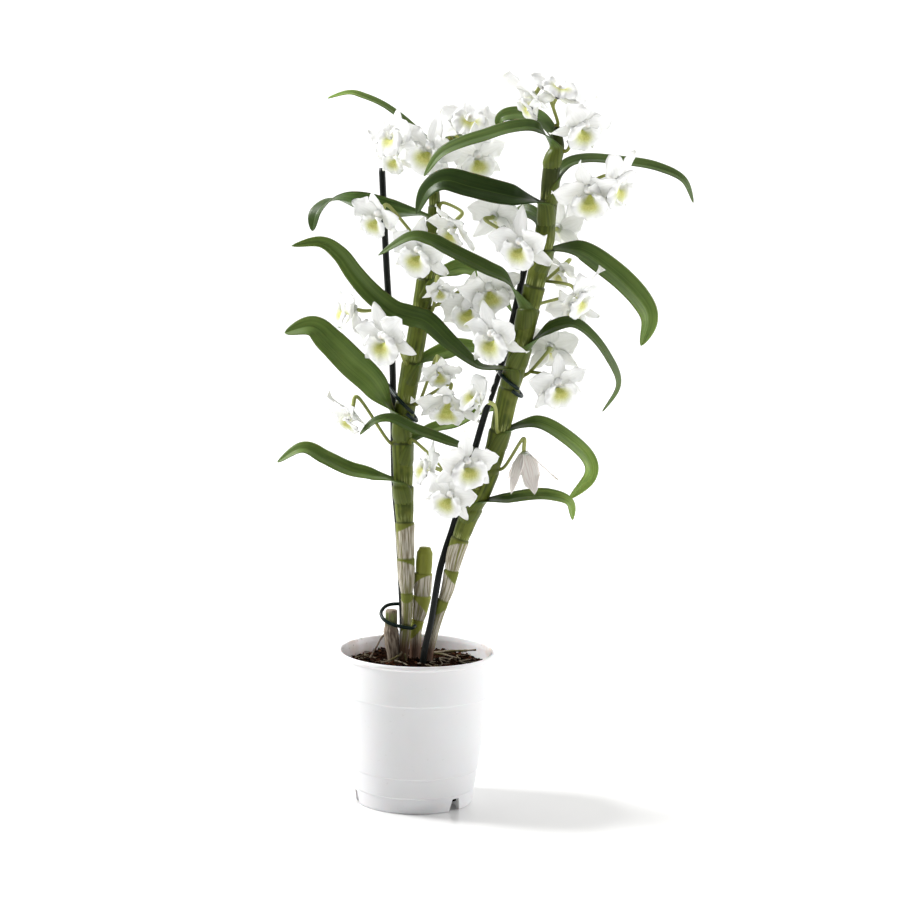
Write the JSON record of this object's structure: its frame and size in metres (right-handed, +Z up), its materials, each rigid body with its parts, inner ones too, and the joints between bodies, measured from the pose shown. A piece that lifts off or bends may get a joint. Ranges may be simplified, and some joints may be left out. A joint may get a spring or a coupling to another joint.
{
  "type": "dendrobium orchid",
  "caption": "Potted dendrobium orchid: jointed leafy canes with drooping strap leaves and white trumpet-lipped blooms, tied to stakes in a round white plastic pot of bark mix.",
  "frame": {"origin": "centre of the pot's underside, on the surface that the pot stands on", "axes": "+Z up along the plant's height, -Y towards the viewer of the picture, +X to the viewer's right"},
  "size_m": [0.3116, 0.1262, 0.5651],
  "materials": {
    "white_plastic": "smooth white nursery pot plastic with a soft gloss",
    "bark_mix": "rough dark bark chips, matt",
    "stake_plastic": "near-black green plastic, faint gloss",
    "tie_wire": "dark green plastic-coated wire",
    "cane": "olive green, ribbed lengthwise, papery silver sheaths low down",
    "old_cane": "dry brown-grey old cane, matt",
    "leaf": "leathery green leaf with a waxy sheen",
    "petal": "thin soft white petal with a pale yellow-green throat"
  },
  "bodies": {
    "root": {"bloom_03": "petal", "bloom_08": "petal", "bloom_11": "petal", "bloom_12": "petal", "bloom_13": "petal", "bloom_14": "petal", "bloom_15": "petal", "bloom_19": "petal", "bloom_20": "petal", "bloom_21": "petal", "bloom_22": "petal", "bloom_23": "petal", "bloom_24": "petal", "bloom_25": "petal", "bloom_26": "petal", "bloom_29": "petal", "bloom_30": "petal", "bloom_32": "petal", "bloom_36": "petal", "cane_left": "cane", "cane_right": "cane", "cane_short": "cane", "leaf_01": "leaf", "leaf_02": "leaf", "leaf_03": "leaf", "leaf_04": "leaf", "leaf_05": "leaf", "leaf_06": "leaf", "leaf_07": "leaf", "leaf_08": "leaf", "leaf_09": "leaf", "leaf_10": "leaf", "leaf_11": "leaf", "leaf_12": "leaf", "leaf_13": "leaf", "leaf_14": "leaf", "leaf_15": "leaf", "leaf_16": "leaf", "leaf_17": "leaf", "leaf_18": "leaf", "leaf_19": "leaf", "leaf_20": "leaf", "old_stub": "old_cane", "pot": "white_plastic", "potting_mix": "bark_mix", "spray_01_02": "petal", "spray_04_05": "petal", "spray_06_07": "petal", "spray_09_10": "petal", "spray_17_18": "petal", "spray_27_28": "petal", "spray_31_33": "petal", "spray_34_35": "petal", "stake_left": "stake_plastic", "stake_right": "stake_plastic", "tie_base": "tie_wire", "tie_left": "tie_wire", "tie_right": "tie_wire"}
  },
  "joints": []
}
